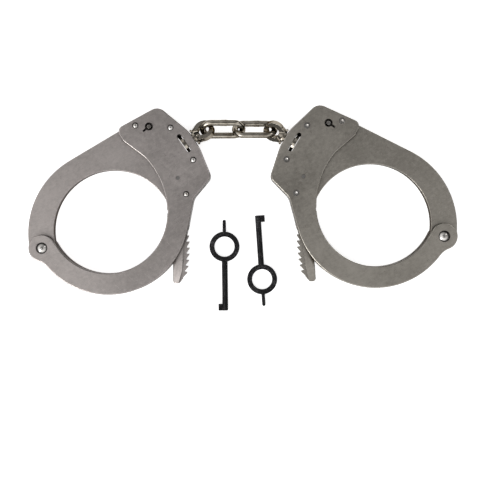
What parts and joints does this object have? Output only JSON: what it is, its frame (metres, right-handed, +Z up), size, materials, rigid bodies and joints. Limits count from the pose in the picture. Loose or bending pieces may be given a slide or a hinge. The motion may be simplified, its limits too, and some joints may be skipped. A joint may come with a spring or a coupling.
{
  "type": "handcuffs",
  "caption": "Pair of satin steel wrist cuffs with toothed swing-through bows, joined by a short chain on swivels, lying flat with two small black keys.",
  "frame": {"origin": "on the table under the middle of the pair's bounding box", "axes": "+Z up from the table, +X from the left cuff to the right cuff, +Y towards the chain"},
  "size_m": [0.1962, 0.094, 0.0114],
  "materials": {
    "satin_nickel": "satin",
    "bright_nickel": "polished",
    "spring_steel": "satin",
    "black_oxide": "satin"
  },
  "bodies": {
    "cuff_left": {"front_plate_left": "satin_nickel", "back_plate_left": "satin_nickel", "upper_spacer_left": "satin_nickel", "lower_spacer_left": "satin_nickel", "hinge_rivet_left": "bright_nickel", "case_rivets_left": "bright_nickel", "pawl_pin_left": "bright_nickel", "pawl_spring_left": "spring_steel", "key_post_left": "bright_nickel"},
    "bow_left": {"bow_left": "satin_nickel"},
    "pawl_left": {"pawl_left": "spring_steel"},
    "double_lock_left": {"double_lock_bar_left": "spring_steel"},
    "swivel_left": {"swivel_left": "bright_nickel"},
    "key_left": {"key_barrel_left": "black_oxide", "key_ring_left": "black_oxide"},
    "cuff_right": {"front_plate_right": "satin_nickel", "back_plate_right": "satin_nickel", "upper_spacer_right": "satin_nickel", "lower_spacer_right": "satin_nickel", "hinge_rivet_right": "bright_nickel", "case_rivets_right": "bright_nickel", "pawl_pin_right": "bright_nickel", "pawl_spring_right": "spring_steel", "key_post_right": "bright_nickel"},
    "bow_right": {"bow_right": "satin_nickel"},
    "pawl_right": {"pawl_right": "spring_steel"},
    "double_lock_right": {"double_lock_bar_right": "spring_steel"},
    "swivel_right": {"swivel_right": "bright_nickel"},
    "key_right": {"key_barrel_right": "black_oxide", "key_ring_right": "black_oxide"},
    "link_left": {"chain_link_left": "bright_nickel"},
    "link_right": {"chain_link_right": "bright_nickel"}
  },
  "joints": [
    {"name": "bow_left_turn", "type": "hinge", "parent": "cuff_left", "child": "bow_left", "pos_m": [-0.09139, -0.01803, 0.0057], "axis": [0, 0, 1], "continuous": true},
    {"name": "pawl_left_turn", "type": "hinge", "parent": "cuff_left", "child": "pawl_left", "pos_m": [-0.02949, 0.01387, 0.0057], "axis": [0, 0, 1], "range_deg": [0, 10.5]},
    {"name": "double_lock_left_slide", "type": "slide", "parent": "cuff_left", "child": "double_lock_left", "axis": [0.6449, 0.7643, 0], "range_m": [0, 0.003]},
    {"name": "bow_right_turn", "type": "hinge", "parent": "cuff_right", "child": "bow_right", "pos_m": [0.09181, -0.01263, 0.0057], "axis": [0, 0, 1], "continuous": true},
    {"name": "pawl_right_turn", "type": "hinge", "parent": "cuff_right", "child": "pawl_right", "pos_m": [0.02774, 0.01465, 0.0057], "axis": [0, 0, 1], "range_deg": [-10.5, 0]},
    {"name": "double_lock_right_slide", "type": "slide", "parent": "cuff_right", "child": "double_lock_right", "axis": [-0.6991, 0.715, 0], "range_m": [0, 0.003]},
    {"name": "swivel_left_turn", "type": "hinge", "parent": "cuff_left", "child": "swivel_left", "pos_m": [-0.02664, 0.02967, 0.0057], "axis": [0.8192, 0.5736, 0], "continuous": true},
    {"name": "link_left_swing", "type": "hinge", "parent": "swivel_left", "child": "link_left", "pos_m": [-0.01434, 0.03657, 0.0059], "axis": [0, -0.766, 0.6428], "range_deg": [-12, 35]},
    {"name": "link_right_swing", "type": "hinge", "parent": "link_left", "child": "link_right", "pos_m": [0.00046, 0.03657, 0.0052], "axis": [0, 0.6691, 0.7431], "range_deg": [-12, 35]},
    {"name": "swivel_right_swing", "type": "hinge", "parent": "link_right", "child": "swivel_right", "pos_m": [0.01446, 0.03573, 0.0057], "axis": [-0.3291, -0.5521, 0.766], "range_deg": [-6, 40]},
    {"name": "swivel_right_turn", "type": "hinge", "parent": "swivel_right", "child": "cuff_right", "pos_m": [0.02374, 0.0302, 0.0057], "axis": [-0.859, 0.512, 0], "continuous": true},
    {"name": "key_left_lift", "type": "slide", "parent": "cuff_left", "child": "key_left", "axis": [0, 0, 1], "range_m": [0, 0.05]},
    {"name": "key_right_lift", "type": "slide", "parent": "cuff_left", "child": "key_right", "axis": [0, 0, 1], "range_m": [0, 0.05]}
  ]
}
